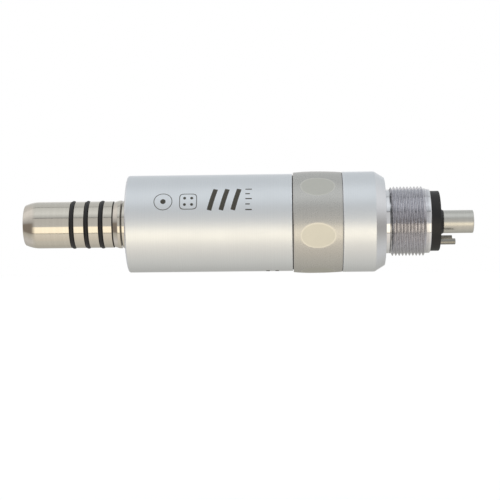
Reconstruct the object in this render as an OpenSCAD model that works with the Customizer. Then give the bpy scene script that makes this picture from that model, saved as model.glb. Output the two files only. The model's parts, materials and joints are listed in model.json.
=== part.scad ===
// Dental air motor: spigot nose, barrel with a vane motor inside, selector ring, rear cap and
// threaded four-hole hose connector. The axis of rotation is X. The nose points to -X, the hose
// end to +X, and the origin is on the axis at the barrel's front shoulder.

/* [Nose spigot] */
// Diameter of the spigot that a handpiece slides onto
nose_d = 9.7; // [9.68:0.01:9.72]
// Length of the spigot in front of the barrel
nose_length = 21.75; // [21.2:0.05:22]
// Diameter of the collar behind the retention groove
collar_d = 10; // [9.9:0.05:10.05]
// Depth of the retention groove below the spigot
catch_depth = 0.2; // [0.1:0.05:0.3]
// Diameter of the socket that takes the handpiece's drive shaft
socket_d = 6.3; // [6.2:0.05:6.4]
// Thickness of a nose O-ring's cord
nose_cord_d = 0.92; // [0.9:0.02:1]
// Height of a nose O-ring above the spigot
nose_oring_stand = 0.17; // [0.1:0.01:0.2]
// Distance between neighbouring nose O-rings
nose_oring_pitch = 3.02; // [2.9:0.02:3.06]
// Distance from the barrel's shoulder to the nearest nose O-ring
nose_oring_back = 5.52; // [5.4:0.02:5.6]

/* [Barrel] */
// Outer diameter of the barrel
barrel_d = 20.2; // [20:0.05:20.6]
// Length of the barrel
barrel_length = 34.1; // [34:0.1:34.1]
// Diameter of the barrel's inside
barrel_bore_d = 18; // [18:0.02:18.04]
// Thickness of the barrel's front wall
front_wall = 1.6; // [1.5:0.05:1.6]
// Radius of the barrel's front edge
barrel_edge_r = 0.3; // [0.1:0.05:0.4]

/* [Selector ring] */
// Width of the selector ring
ring_width = 10.04; // [9.9:0.02:10.04]
// Largest diameter of the crowned ring
ring_d = 21.14; // [21:0.02:21.4]
// Diameter of the ring at its two edges
ring_edge_d = 20.74; // [20.6:0.02:20.9]
// Gap between the barrel and the ring
ring_gap = 0.15; // [0.12:0.01:0.2]
// Number of finger dimples
dimple_count = 6; // [4:1:8]
// Length of a dimple along the motor
dimple_length = 7.3; // [6:0.1:7.4]
// Depth of a dimple
dimple_depth = 0.34; // [0.3:0.02:0.5]
// How far the ring turns each way from stop, in degrees
selector_angle = 40; // [30:1:40]

/* [Rear cap] */
// Outer diameter of the rear cap
cap_d = 20.82; // [20.6:0.02:21]
// Gap between the ring and the cap
cap_gap = 0.1; // [0.08:0.01:0.15]
// Length of the rear cap
cap_length = 8.71; // [8.6:0.01:8.8]
// Length of the cap's rear chamfer
cap_chamfer_length = 2.1; // [1.8:0.1:2.3]
// Diameter where the chamfer meets the rear face
cap_face_d = 18.2; // [17.6:0.1:18.6]

/* [Hose connector] */
// Outer diameter of the hose thread
thread_d = 14.12; // [14:0.02:14.28]
// Threads per inch of the hose thread
threads_per_inch = 36; // [34:1:38]
// Diameter of the plain neck and pilot
neck_d = 13; // [12.96:0.02:13.08]
// Diameter of the gasket
gasket_d = 12.46; // [12.4:0.02:12.6]
// Thickness of the gasket
gasket_thickness = 1.98; // [1.8:0.02:2]
// Outer diameter of the exhaust tube
exhaust_d = 4.76; // [4.7:0.02:4.8]
// How far the exhaust tube reaches past the connector's face
exhaust_reach = 9.08; // [8.8:0.02:9.4]
// Outer diameter of the water and chip-air tubes
small_tube_d = 1.24; // [1.2:0.02:1.28]
// How far the small tubes reach past the connector's face
small_tube_reach = 5.1; // [4.9:0.05:5.3]
// Diameter of the drive-air port
drive_port_d = 2.6; // [2.4:0.05:2.7]
// Turn of the whole port pattern about the axis, in degrees
port_roll = 7.2; // [6:0.1:8]

/* [Vane motor] */
// Diameter of the rotor
rotor_d = 10.3; // [10.2:0.02:10.32]
// Length of the cylinder liner
liner_length = 14; // [13.9:0.05:14]
// Diameter of the liner's bore
liner_bore_d = 12; // [12:0.01:12.04]
// How far the liner's bore is off the motor's axis
eccentricity = 0.8; // [0.78:0.01:0.8]
// Thickness of a vane
vane_thickness = 0.84; // [0.7:0.02:0.84]
// How far the drive dog can be pushed in
dog_travel = 1.5; // [1:0.1:1.5]

/* [Hidden] */

// Cutters run past the faces they open by this much
over = 1;
// Radial gap of parts that are pushed together and stay put
fit_gap = 0.02;
// Radial gap between a sleeve and what is clamped inside it
slip_gap = 0.05;
// Facets of a whole turn
$fn = 96;

// Colours
satin_silver = [0.76, 0.78, 0.80];
polished_steel = [0.72, 0.71, 0.68];
champagne = [0.62, 0.58, 0.52];
black_rubber = [0.13, 0.13, 0.14];
brass_tone = [0.78, 0.64, 0.36];
dark_steel = [0.45, 0.46, 0.48];
vane_brown = [0.42, 0.28, 0.18];

// Nose stations
nose_r = nose_d / 2;
nose_tip = -nose_length;
tip_face_r = nose_r - 0.88;
tip_edge_r = nose_r - 0.58;
tip_edge_length = 0.25;
tip_taper_length = 2.7;
catch_front = -3.2;
catch_rear = -1.78;
catch_ease = 0.5;
catch_share = catch_ease / (catch_rear - catch_front);
collar_r = collar_d / 2;
relief_front = -1.48;
relief_rear = -1.1;
relief_r = nose_r - 0.4;
nose_cord_r = nose_cord_d / 2;
nose_oring_r = nose_r + nose_oring_stand - nose_cord_r;
socket_r = socket_d / 2;
socket_depth = 5.8;
socket_chamfer = 0.3;
dog_chamber_r = 2.95;

// Flange of the nose inside the barrel, with the front bearing's pocket
barrel_r = barrel_d / 2;
barrel_bore_r = barrel_bore_d / 2;
inner_r = barrel_bore_r - slip_gap;
nose_hole_r = collar_r + 0.1;
flange_rear = 7.2;
front_pocket = 3;

// Ball bearings, 3 x 8 x 4 mm
bearing_w = 4;
bearing_r = 4;
bearing_bore_r = 1.5;
ball_r = 0.794;
ball_count = 7;
ball_pitch_r = (bearing_r + bearing_bore_r) / 2;
race_gap = 0.026;
race_wall = 0.7;
cage_w = 2.2;
cage_wall = 0.66;
pocket_r = bearing_r + fit_gap;
front_bearing = front_pocket + fit_gap;

// Vane motor stations
front_plate_w = 1.6;
liner_front = flange_rear + front_plate_w;
liner_rear = liner_front + liner_length;
rear_plate_w = 1.6;
housing_front = liner_rear + rear_plate_w;
housing_rear = housing_front + 5.6;
pocket_depth = 4.8;
rear_bearing = housing_front + fit_gap;
rotor_r = rotor_d / 2;
rotor_end_gap = 0.05;
shaft_r = 1.5;
shaft_hole_r = 1.65;
shaft_front = -10.8;
shaft_rear = 29;
shaft_collar_r = 2.1;
shaft_collar_front = 0.8;
vane_root_r = 2.2;
slot_root_r = 2.1;
vane_gap = 0.03;
vane_count = 4;

// Drive dog stations
dog_front = -15;
dog_rear = -6;
dog_r = 2.7;
dog_tooth = 2;
dog_slot_w = 2;
dog_pin_x = -8.5;
dog_pin_r = 0.4;
dog_spring_r = 1.85;
dog_wire_r = 0.2;
dog_coils = 6;

// Alignment pins and spray lines
pin_r = 0.58;
pin_circle_r = 7.6;
pin_front = 5.4;
pin_rear = 27;
line_r = 0.5;
line_bore_r = 0.3;
line_circle_r = 6.15;
water_angle = 12;
air_angle = 42;
line_front = 3;
cross_drill_x = 2.3;
channel_r = 0.3;
channel_circle_r = 3.52;

// Air passages
feed_r = 0.65;
feed_circle_r = 5.6;
feed_angle = 72;
exhaust_slot_w = 3;
exhaust_slot_depth = 0.9;
exhaust_hole_r = 1;

// Valve body, selector valve and ring stations
ring_front = barrel_length + ring_gap;
ring_rear = ring_front + ring_width;
ring_bore_r = 7.3;
shoulder_rear = barrel_length + 0.8;
shoulder_r = barrel_r - 0.3;
core_r = 7.2;
core_rear = 47;
valve_bore_r = 4.6;
valve_r = 4.55;
valve_front = 35.6;
valve_rear = 43.8;
valve_bore_front = 35.4;
valve_hole_r = 2.6;
exhaust_chamber_r = 3;
exhaust_chamber_front = 31;
exhaust_cross_x = 32;
selector_pin_x = 37;
selector_pin_r = 0.8;
selector_pin_top = 8.9;
keyway_r = 9;
feed_x = 40.2;
drive_x = 41.6;
valve_groove_r = 3.9;
drive_passage_r = 0.7;
drive_circle_r = 5.5;
valve_cord_r = 0.35;
ring_cord_r = 0.25;
barrel_cord_r = 0.4;
barrel_seal_r = barrel_bore_r - 0.04 - barrel_cord_r;
valve_seal_x = [38.6, 43];
ring_seal_x = [39.4, 43.2];
barrel_seal_x = [4.4, 33.2];
// Half the arc that the selector pin needs in the valve body's wall
selector_sweep = selector_angle + asin((selector_pin_r + 0.05) / valve_bore_r) + 0.5;
dimple_centre = 39.4;
crown_peak = 38.6;
dimple_turn = 16.3;

// Rear cap stations
cap_front = ring_rear + cap_gap;
cap_land = 0.05;
cap_land_r = 9.8;
cap_rear = cap_front + cap_length;
cap_r = cap_d / 2;
cap_lip = 1.45;

// Hose connector stations
seal_w = 0.8;
connector_front = core_rear + seal_w;
connector_flange_rear = cap_rear - cap_lip - 0.05;
neck_r = neck_d / 2;
thread_r = thread_d / 2;
thread_root_r = neck_r - 0.04;
pitch = 25.4 / threads_per_inch;
thread_front = cap_rear + 1.05;
thread_rear = thread_front + 7.55;
thread_runout = pitch / 2 + 0.03;
face_x = cap_rear + 9.35;
face_chamfer = 0.2;
gasket_r = gasket_d / 2;
gasket_rear = face_x + gasket_thickness;
gasket_edge = 0.15;
boss_r = 2.74;
boss_top_r = 2.48;
boss_rear = gasket_rear + 0.84;
exhaust_r = exhaust_d / 2;
exhaust_wall = 0.38;
exhaust_drop = 0.2;
exhaust_seat = 56;
exhaust_root_r = exhaust_r - 0.18;
tube_edge = 0.25;
small_tube_r = small_tube_d / 2;
small_tube_bore_r = 0.32;
small_tube_root_r = small_tube_r - 0.16;
small_tube_seat = 57;
port_circle_r = 5;
port_spread = 37.2;
water_port_angle = port_roll - port_spread;
air_port_angle = port_roll + port_spread;
drive_port_angle = 180 + port_roll;
drive_port_circle_r = 4.27;
drive_port_r = drive_port_d / 2;
drive_port_depth = 6.6;

// ---------------------------------------------------------------- helpers

// Turns a profile of [x, radius] points about the X axis
module turned(profile) {
    rotate([0, 90, 0])
        rotate_extrude()
            polygon([for (p = profile) [p[1], p[0]]]);
}

// Solid cylinder along X
module rod(x0, x1, r) {
    translate([x0, 0, 0])
        rotate([0, 90, 0])
            cylinder(h = x1 - x0, r = r);
}

// Hollow cylinder along X
module pipe(x0, x1, r_out, r_in) {
    difference() {
        rod(x0, x1, r_out);
        rod(x0 - over, x1 + over, r_in);
    }
}

// Places children off the axis; angles are counted from straight down towards +Y
module around(angle, radius) {
    rotate([angle, 0, 0])
        translate([0, 0, -radius])
            children();
}

// Hole along X at an angle and radius
module drilling(x0, x1, r, angle, radius) {
    around(angle, radius)
        rod(x0, x1, r);
}

// Hole from one radius out to another
module cross_drilling(x, r, angle, r_in, r_out) {
    rotate([angle, 0, 0])
        translate([x, 0, -r_out])
            cylinder(h = r_out - r_in, r = r);
}

// Curved slot round the axis; angles are counted from straight down towards +Y
module arc_slot(x0, x1, r_in, r_out, from, to) {
    translate([x0, 0, 0])
        rotate([0, 90, 0])
            rotate([0, 0, from])
                rotate_extrude(angle = to - from)
                    translate([r_in, 0])
                        square([r_out - r_in, x1 - x0]);
}

// Rectangular groove round a shaft
module groove(x, width, r_floor, r_out) {
    pipe(x - width / 2, x + width / 2, r_out + over, r_floor);
}

// O-ring round the axis
module oring(x, r_centre, r_cord) {
    translate([x, 0, 0])
        rotate([0, 90, 0])
            rotate_extrude()
                translate([r_centre, 0])
                    circle(r = r_cord, $fn = 32);
}

// Groove for an O-ring, with a little room on each side
module oring_groove(x, r_centre, r_cord, r_out) {
    groove(x, 2 * r_cord + 0.06, r_centre - r_cord - fit_gap, r_out);
}

// Holes for the two alignment pins
module pin_holes(x0, x1) {
    for (side = [-90, 90])
        drilling(x0, x1, pin_r + fit_gap, side, pin_circle_r);
}

// Holes for the two spray lines
module line_holes(x0, x1) {
    for (angle = [water_angle, air_angle])
        drilling(x0, x1, line_r + fit_gap, angle, line_circle_r);
}

// Channel along the top that takes the spent air backwards
module exhaust_channel(x0, x1) {
    translate([x0, -exhaust_slot_w / 2, inner_r - exhaust_slot_depth])
        cube([x1 - x0, exhaust_slot_w, exhaust_slot_depth + over]);
}

// ---------------------------------------------------------------- nose

// X of a nose O-ring; 0 is the one next to the barrel
function nose_oring_x(i) = -nose_oring_back - i * nose_oring_pitch;

// Outline of the nose: rounded tip edge, gentle taper, spigot, retention groove, collar, relief
function nose_tip_edge() = [
    for (a = [90:-30:0])
        [nose_tip + tip_edge_length * (1 - sin(a)), tip_face_r + (tip_edge_r - tip_face_r) * cos(a)]
];
function nose_taper() = [
    for (t = [0.125:0.125:1])
        [nose_tip + tip_edge_length + tip_taper_length * t, nose_r - (nose_r - tip_edge_r) * pow(1 - t, 2)]
];
// The retention groove is a step down and then a cone up to the collar, eased by a parabola at its top
function catch_cone() = [
    for (t = [0:0.2:1])
        [
            catch_rear - catch_ease * (1 - t),
            collar_r - (collar_r - nose_r + catch_depth) * catch_share * pow(1 - t, 2) / (2 - catch_share)
        ]
];

module nose_outline() {
    turned(concat(
        [[nose_tip, 0]],
        nose_tip_edge(),
        nose_taper(),
        [[catch_front, nose_r]],
        [[catch_front, nose_r - catch_depth]],
        catch_cone(),
        [
            [relief_front, collar_r],
            [relief_front, relief_r],
            [relief_rear, relief_r],
            [relief_rear, collar_r],
            [front_wall, collar_r],
            [front_wall, inner_r],
            [flange_rear, inner_r],
            [flange_rear, 0]
        ]
    ));
}

// Water or chip-air channel from the spray line to an outlet between two O-rings
module spray_channel(angle, outlet_x) {
    drilling(outlet_x, cross_drill_x, channel_r, angle, channel_circle_r);
    cross_drilling(outlet_x, channel_r, angle, channel_circle_r, nose_r + over);
    cross_drilling(cross_drill_x, channel_r, angle, channel_circle_r, line_circle_r);
    drilling(cross_drill_x, flange_rear + over, line_r + fit_gap, angle, line_circle_r);
}

module nose_spigot() {
    color(polished_steel)
        difference() {
            nose_outline();
            for (i = [0:2])
                oring_groove(nose_oring_x(i), nose_oring_r, nose_cord_r, nose_r);
            oring_groove(barrel_seal_x[0], barrel_seal_r, barrel_cord_r, inner_r);
            turned([
                [nose_tip - over, 0],
                [nose_tip - over, socket_r + socket_chamfer + over],
                [nose_tip + socket_chamfer, socket_r],
                [nose_tip + socket_depth, socket_r],
                [nose_tip + socket_depth, dog_chamber_r],
                [front_pocket, dog_chamber_r],
                [front_pocket, pocket_r],
                [flange_rear + over, pocket_r],
                [flange_rear + over, 0]
            ]);
            spray_channel(water_angle, (nose_oring_x(1) + nose_oring_x(2)) / 2);
            spray_channel(air_angle, (nose_oring_x(0) + nose_oring_x(1)) / 2);
            pin_holes(pin_front - 0.1, flange_rear + over);
        }
}

module nose_oring(i) {
    color(black_rubber)
        oring(nose_oring_x(i), nose_oring_r, nose_cord_r);
}

// ---------------------------------------------------------------- barrel

module barrel() {
    color(satin_silver)
        turned(concat(
            [[0, nose_hole_r]],
            [
                for (a = [90:-15:0])
                    [barrel_edge_r * (1 - sin(a)), barrel_r - barrel_edge_r * (1 - cos(a))]
            ],
            [
                [barrel_length - 0.1, barrel_r],
                [barrel_length, barrel_r - 0.1],
                [barrel_length, barrel_bore_r],
                [front_wall, barrel_bore_r],
                [front_wall, nose_hole_r]
            ]
        ));
}

module barrel_seal(x) {
    color(black_rubber)
        oring(x, barrel_seal_r, barrel_cord_r);
}

module shaft_seal() {
    color(black_rubber)
        pipe(shaft_collar_front + 0.1, front_pocket - 0.4, dog_chamber_r - fit_gap, shaft_collar_r + 0.03);
}

// ---------------------------------------------------------------- ball bearings

module race_groove(x) {
    oring(x + bearing_w / 2, ball_pitch_r, ball_r + race_gap);
}

module outer_race(x) {
    color(polished_steel)
        difference() {
            pipe(x, x + bearing_w, bearing_r, bearing_r - race_wall);
            race_groove(x);
        }
}

module inner_race(x) {
    color(polished_steel)
        difference() {
            pipe(x, x + bearing_w, bearing_bore_r + race_wall, bearing_bore_r + fit_gap);
            race_groove(x);
        }
}

// Places one child at every ball's centre
module each_ball(x) {
    for (i = [0:ball_count - 1])
        around(i * 360 / ball_count, ball_pitch_r)
            translate([x + bearing_w / 2, 0, 0])
                children();
}

module ball_cage(x) {
    color(brass_tone)
        difference() {
            pipe(
                x + (bearing_w - cage_w) / 2, x + (bearing_w + cage_w) / 2,
                ball_pitch_r + cage_wall / 2, ball_pitch_r - cage_wall / 2
            );
            each_ball(x)
                sphere(r = ball_r + 0.046, $fn = 32);
        }
}

module bearing_balls(x) {
    color(polished_steel)
        each_ball(x)
            sphere(r = ball_r, $fn = 32);
}

// ---------------------------------------------------------------- vane motor

module front_plate() {
    color(dark_steel)
        difference() {
            rod(flange_rear, liner_front, inner_r);
            rod(flange_rear - over, liner_front + over, shaft_hole_r);
            pin_holes(flange_rear - over, liner_front + over);
            line_holes(flange_rear - over, liner_front + over);
        }
}

module cylinder_liner() {
    color(dark_steel)
        difference() {
            rod(liner_front, liner_rear, inner_r);
            translate([0, 0, eccentricity])
                rod(liner_front - over, liner_rear + over, liner_bore_d / 2);
            pin_holes(liner_front - over, liner_rear + over);
            line_holes(liner_front - over, liner_rear + over);
            exhaust_channel(liner_front + 2, liner_rear + over);
            for (i = [1:3])
                cross_drilling(
                    liner_front + i * liner_length / 4, exhaust_hole_r, 180,
                    rotor_r, inner_r + over
                );
        }
}

module rear_plate() {
    color(dark_steel)
        difference() {
            rod(liner_rear, housing_front, inner_r);
            rod(liner_rear - over, housing_front + over, shaft_hole_r);
            pin_holes(liner_rear - over, housing_front + over);
            line_holes(liner_rear - over, housing_front + over);
            exhaust_channel(liner_rear - over, housing_front + over);
            for (side = [-1, 1], angle = [60, feed_angle, 84])
                drilling(liner_rear - over, housing_front + over, 0.5, side * angle, rotor_r + 0.15);
        }
}

module bearing_housing() {
    color(dark_steel)
        difference() {
            rod(housing_front, housing_rear, inner_r);
            rod(housing_front - over, housing_front + pocket_depth, pocket_r);
            pin_holes(housing_front - over, pin_rear + 0.1);
            line_holes(housing_front - over, housing_rear + over);
            exhaust_channel(housing_front - over, housing_rear + over);
            for (side = [-1, 1])
                drilling(housing_front - over, housing_rear + over, feed_r, side * feed_angle, feed_circle_r);
        }
}

module alignment_pins() {
    color(polished_steel)
        for (side = [-90, 90])
            drilling(pin_front, pin_rear, pin_r, side, pin_circle_r);
}

// Cone-shaped disc spring behind the rear bearing's outer race
module preload_washer() {
    front = rear_bearing + bearing_w + 0.03;
    rear = housing_front + pocket_depth - 0.03;
    thickness = 0.2;
    color(dark_steel)
        turned([
            [front, bearing_r - 0.1],
            [front + thickness, bearing_r - 0.1],
            [rear, 2.7],
            [rear - thickness, 2.7]
        ]);
}

module drive_shaft() {
    groove_x = rear_bearing + bearing_w + 0.17;
    color(polished_steel)
        difference() {
            union() {
                rod(shaft_front, shaft_rear, shaft_r);
                rod(shaft_collar_front, front_bearing, shaft_collar_r);
            }
            groove(groove_x, 0.3, shaft_r - 0.25, shaft_r);
            translate([dog_pin_x, 0, 0])
                rotate([90, 0, 0])
                    cylinder(h = 2 * shaft_r + over, r = dog_pin_r + fit_gap, center = true);
        }
}

module shaft_circlip() {
    x = rear_bearing + bearing_w + 0.17;
    color(dark_steel)
        difference() {
            pipe(x - 0.12, x + 0.12, shaft_r + 0.5, shaft_r - 0.23);
            translate([x - over, -0.6, 0])
                cube([2 * over, 1.2, bearing_r]);
        }
}

// Angle of a vane's slot, counted from straight down
function vane_angle(i) = (i - 0.5) * 360 / vane_count;

module rotor() {
    front = liner_front + rotor_end_gap;
    rear = liner_rear - rotor_end_gap;
    color(satin_silver)
        difference() {
            pipe(front, rear, rotor_r, shaft_r + fit_gap);
            for (i = [1:vane_count])
                rotate([vane_angle(i), 0, 0])
                    translate([front - over, -vane_thickness / 2 - vane_gap, -rotor_r - over])
                        cube([
                            rear - front + 2 * over,
                            vane_thickness + 2 * vane_gap,
                            rotor_r + over - slot_root_r
                        ]);
        }
}

// Vane number i, pushed right down into its slot
module vane(i) {
    front = liner_front + 2 * rotor_end_gap;
    color(vane_brown)
        rotate([vane_angle(i), 0, 0])
            translate([front, -vane_thickness / 2, -rotor_r + 0.02])
                cube([
                    liner_length - 4 * rotor_end_gap,
                    vane_thickness,
                    rotor_r - 0.02 - vane_root_r
                ]);
}

// ---------------------------------------------------------------- drive dog

module drive_dog() {
    bore_front = dog_front + dog_tooth + 0.3;
    slot_front = dog_pin_x - dog_travel;
    color(polished_steel)
        difference() {
            turned([
                [dog_front, 0],
                [dog_front, dog_r - 0.4],
                [dog_front + 0.4, dog_r],
                [dog_rear, dog_r],
                [dog_rear, 0]
            ]);
            rod(bore_front, dog_rear + over, shaft_r + slip_gap);
            rod(dog_front - over, bore_front + over, 0.9);
            translate([dog_front - over, -dog_slot_w / 2, -dog_r - over])
                cube([dog_tooth + over, dog_slot_w, 2 * (dog_r + over)]);
            for (x = [slot_front, dog_pin_x])
                translate([x, 0, 0])
                    rotate([90, 0, 0])
                        cylinder(h = 2 * (dog_r + over), r = dog_pin_r + 0.04, center = true);
            translate([slot_front, -dog_r - over, -dog_pin_r - 0.04])
                cube([dog_travel, 2 * (dog_r + over), 2 * (dog_pin_r + 0.04)]);
        }
}

module dog_pin() {
    color(dark_steel)
        translate([dog_pin_x, 0, 0])
            rotate([90, 0, 0])
                cylinder(h = 2 * dog_r - 0.3, r = dog_pin_r, center = true, $fn = 32);
}

// Coil spring swept as one tube of eight-sided rings
module dog_spring() {
    sides = 8;
    steps = 20;
    front = dog_rear + dog_wire_r + 0.03;
    rear = shaft_collar_front - dog_wire_r - 0.03;
    count = dog_coils * steps;
    points = [
        for (i = [0:count], j = [0:sides - 1])
            let (
                turn = 360 * i / steps,
                side = 360 * j / sides,
                r = dog_spring_r + dog_wire_r * cos(side)
            )
                [front + (rear - front) * i / count + dog_wire_r * sin(side), r * cos(turn), r * sin(turn)]
    ];
    walls = [
        for (i = [0:count - 1], j = [0:sides - 1])
            let (a = i * sides + j, b = i * sides + (j + 1) % sides)
                each [[a, b, b + sides], [a, b + sides, a + sides]]
    ];
    caps = [
        [for (j = [sides - 1:-1:0]) j],
        [for (j = [0:sides - 1]) count * sides + j]
    ];
    color(dark_steel)
        polyhedron(points, concat(walls, caps));
}

// ---------------------------------------------------------------- spray lines

module spray_line(angle) {
    color(polished_steel)
        around(angle, line_circle_r)
            pipe(line_front, core_rear - 0.2, line_r, line_bore_r);
}

// ---------------------------------------------------------------- valve body and selector

module valve_body() {
    color(satin_silver)
        difference() {
            union() {
                rod(housing_rear, barrel_length, inner_r);
                rod(barrel_length, shoulder_rear, shoulder_r);
                rod(barrel_length, core_rear, core_r);
            }
            rod(exhaust_chamber_front, valve_bore_front + over, exhaust_chamber_r);
            rod(valve_bore_front, core_rear + over, valve_bore_r);
            groove_in_bore(valve_rear + 0.4, 0.6, valve_bore_r + 0.3);
            line_holes(housing_rear - over, core_rear + over);
            exhaust_channel(housing_rear - over, exhaust_cross_x + exhaust_hole_r);
            cross_drilling(exhaust_cross_x, exhaust_hole_r, 180, 0, inner_r + over);
            for (side = [-1, 1]) {
                drilling(housing_rear - over, feed_x, feed_r, side * feed_angle, feed_circle_r);
                cross_drilling(feed_x, feed_r, side * feed_angle, 3.5, feed_circle_r);
            }
            drilling(drive_x, core_rear + over, drive_passage_r, drive_port_angle, drive_circle_r);
            cross_drilling(drive_x, drive_passage_r - 0.1, drive_port_angle, 3.5, drive_circle_r);
            arc_slot(
                selector_pin_x - selector_pin_r - 0.05, selector_pin_x + selector_pin_r + 0.05,
                valve_bore_r - over, core_r + over,
                180 - selector_sweep, 180 + selector_sweep
            );
            oring_groove(barrel_seal_x[1], barrel_seal_r, barrel_cord_r, inner_r);
            for (x = ring_seal_x)
                oring_groove(x, ring_bore_r - fit_gap - ring_cord_r, ring_cord_r, core_r);
        }
}

// Rectangular groove cut outwards from a bore
module groove_in_bore(x, width, r_floor) {
    rod(x - width / 2, x + width / 2, r_floor);
}

module selector_valve() {
    window = 38;
    color(brass_tone)
        difference() {
            pipe(valve_front, valve_rear, valve_r, valve_hole_r);
            cross_drilling(selector_pin_x, selector_pin_r + fit_gap, 180, 0, valve_r + over);
            arc_slot(feed_x - 0.8, drive_x, valve_groove_r, valve_r + over, -window, window);
            groove(drive_x, 1.2, valve_groove_r, valve_r);
            for (x = valve_seal_x)
                oring_groove(x, valve_bore_r - 0.03 - valve_cord_r, valve_cord_r, valve_r);
        }
}

module valve_seal(x) {
    color(black_rubber)
        oring(x, valve_bore_r - 0.03 - valve_cord_r, valve_cord_r);
}

module valve_circlip() {
    x = valve_rear + 0.4;
    color(dark_steel)
        difference() {
            pipe(x - 0.25, x + 0.25, valve_bore_r + 0.25, valve_bore_r - 0.7);
            translate([x - over, -1, -valve_bore_r - over])
                cube([2 * over, 2, valve_bore_r]);
        }
}

module selector_pin() {
    color(polished_steel)
        translate([selector_pin_x, 0, valve_hole_r + 0.3])
            cylinder(h = selector_pin_top - valve_hole_r - 0.3, r = selector_pin_r, $fn = 48);
}

// ---------------------------------------------------------------- selector ring

// Radius of the crowned ring at x
function crown_r(x) =
    let (
        reach = x < crown_peak ? crown_peak - ring_front : ring_rear - crown_peak,
        off = (x - crown_peak) / reach
    )
        ring_d / 2 - (ring_d - ring_edge_d) / 2 * pow(off, 2);

// A drum lying across the ring. Its cut in the crown is dimple_length long and dimple_depth deep, where
// the crown itself falls off a little towards the dimple's two ends
dimple_end_r = (crown_r(dimple_centre - dimple_length / 2) + crown_r(dimple_centre + dimple_length / 2)) / 2;
dimple_rise = dimple_depth - (ring_d / 2 - dimple_end_r);
dimple_drum_r = (pow(dimple_length / 2, 2) + pow(dimple_rise, 2)) / (2 * dimple_rise);

module regulator_ring() {
    edge = 0.12;
    crown_steps = 12;
    drum_width = 7;
    color(champagne)
        difference() {
            turned(concat(
                [
                    [shoulder_rear + slip_gap, ring_bore_r],
                    [shoulder_rear + slip_gap, shoulder_r + slip_gap],
                    [ring_front, shoulder_r + slip_gap],
                    [ring_front, crown_r(ring_front) - edge]
                ],
                [
                    for (i = [0:crown_steps])
                        let (x = ring_front + edge + (ring_width - 2 * edge) * i / crown_steps)
                            [x, crown_r(x)]
                ],
                [[ring_rear, crown_r(ring_rear) - edge], [ring_rear, ring_bore_r]]
            ));
            for (i = [0:dimple_count - 1])
                around(-90 + dimple_turn + i * 360 / dimple_count, ring_d / 2 - dimple_depth + dimple_drum_r)
                    translate([dimple_centre, 0, 0])
                        rotate([90, 0, 0])
                            cylinder(r = dimple_drum_r, h = drum_width, center = true, $fn = 240);
            translate([ring_front - over, -selector_pin_r - 0.02, 0])
                cube([
                    selector_pin_x + selector_pin_r + 0.1 - ring_front + over,
                    2 * (selector_pin_r + 0.02),
                    keyway_r
                ]);
        }
}

module ring_seal(x) {
    color(black_rubber)
        oring(x, ring_bore_r - fit_gap - ring_cord_r, ring_cord_r);
}

// ---------------------------------------------------------------- rear cap

module rear_cap() {
    edge = 0.12;
    color(satin_silver)
        turned([
            [cap_front - cap_land, core_r + slip_gap],
            [cap_front - cap_land, cap_land_r],
            [cap_front, cap_land_r],
            [cap_front, cap_r - edge],
            [cap_front + edge, cap_r],
            [cap_rear - cap_chamfer_length, cap_r],
            [cap_rear, cap_face_d / 2],
            [cap_rear, neck_r + 0.06],
            [cap_rear - cap_lip, neck_r + 0.06],
            [cap_rear - cap_lip, core_r + slip_gap]
        ]);
}

// ---------------------------------------------------------------- hose connector

module connector_seal() {
    color(black_rubber)
        difference() {
            rod(core_rear, connector_front, core_r - 0.05);
            rod(core_rear - over, connector_front + over, 2.4);
            arc_slot(
                core_rear - over, connector_front + over,
                port_circle_r - 0.5, line_circle_r + 0.45, water_port_angle - 3, water_angle + 3
            );
            arc_slot(
                core_rear - over, connector_front + over,
                port_circle_r - 0.5, line_circle_r + 0.45, air_angle - 4, air_port_angle + 4
            );
            drilling(core_rear - over, connector_front + over, 0.9, drive_port_angle, 4.9);
        }
}

// Ridge of the hose thread: one right-hand helix. Its foot is buried in the connector, and at both
// ends its crest comes up out of the root and goes down into it again.
module thread_ridge() {
    steps = 48;
    fade = 20;
    count = ceil((thread_rear - thread_front) / pitch * steps);
    half_foot = pitch / 2 - 0.012;
    half_crest = pitch / 14;
    foot_r = thread_root_r - 0.3;
    flank_r = thread_root_r - 0.08;
    sunk_r = thread_root_r - 0.05;
    sides = 6;
    function crest(i) = sunk_r + (thread_r - sunk_r) * min(1, i / fade, (count - i) / fade);
    function section(top) = [
        [-half_foot, foot_r], [-half_foot, flank_r], [-half_crest, top],
        [half_crest, top], [half_foot, flank_r], [half_foot, foot_r]
    ];
    points = [
        for (i = [0:count], p = section(crest(i)))
            let (turn = 360 * i / steps)
                [thread_front + pitch * i / steps + p[0], p[1] * sin(turn), -p[1] * cos(turn)]
    ];
    walls = [
        for (i = [0:count - 1], j = [0:sides - 1])
            let (a = i * sides + j, b = i * sides + (j + 1) % sides)
                each [[a, b, b + sides], [a, b + sides, a + sides]]
    ];
    ends = [
        [for (j = [sides - 1:-1:0]) j],
        [for (j = [0:sides - 1]) count * sides + j]
    ];
    polyhedron(points, concat(walls, ends));
}

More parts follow.
